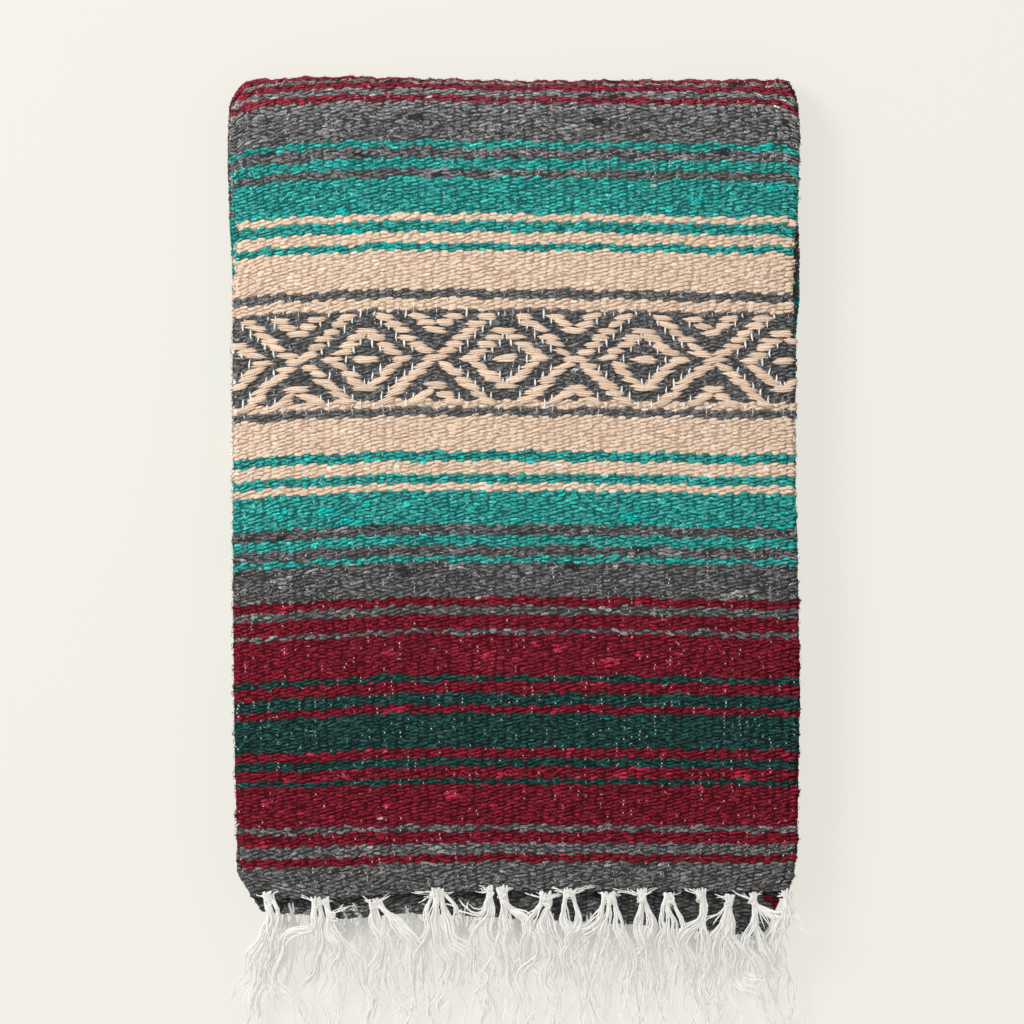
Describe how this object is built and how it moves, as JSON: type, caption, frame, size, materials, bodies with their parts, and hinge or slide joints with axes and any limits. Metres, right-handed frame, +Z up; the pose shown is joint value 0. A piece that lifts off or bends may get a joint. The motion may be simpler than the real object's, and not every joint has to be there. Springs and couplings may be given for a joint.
{
  "type": "folded mexican serape blanket",
  "caption": "Striped Mexican serape, folded to a sixteenth and lying flat, with a diamond band and both ends' warp fringes spread out in front.",
  "frame": {"origin": "on the floor, under the middle of the bounding box of the folded blanket with its fringes", "axes": "+X across the folded blanket, +Y towards the outer back fold, -Y towards the two fringes, +Z up"},
  "size_m": [0.3228, 0.5592, 0.0387],
  "materials": {
    "serape_cloth": "weft-faced woven stripes in maroon, teal, beige, green and grey with a diamond band",
    "serape_layers": "folded woven edges and selvedges in the same stripes",
    "serape_end": "woven, mottled charcoal grey",
    "warp_fringe": "loose off-white warp threads, twisted at the roots"
  },
  "bodies": {
    "root": {"outer_panel": "serape_cloth", "folded_layers": "serape_layers", "end_b_panel": "serape_end", "fringe_end_a": "warp_fringe", "fringe_end_b": "warp_fringe"}
  },
  "joints": []
}
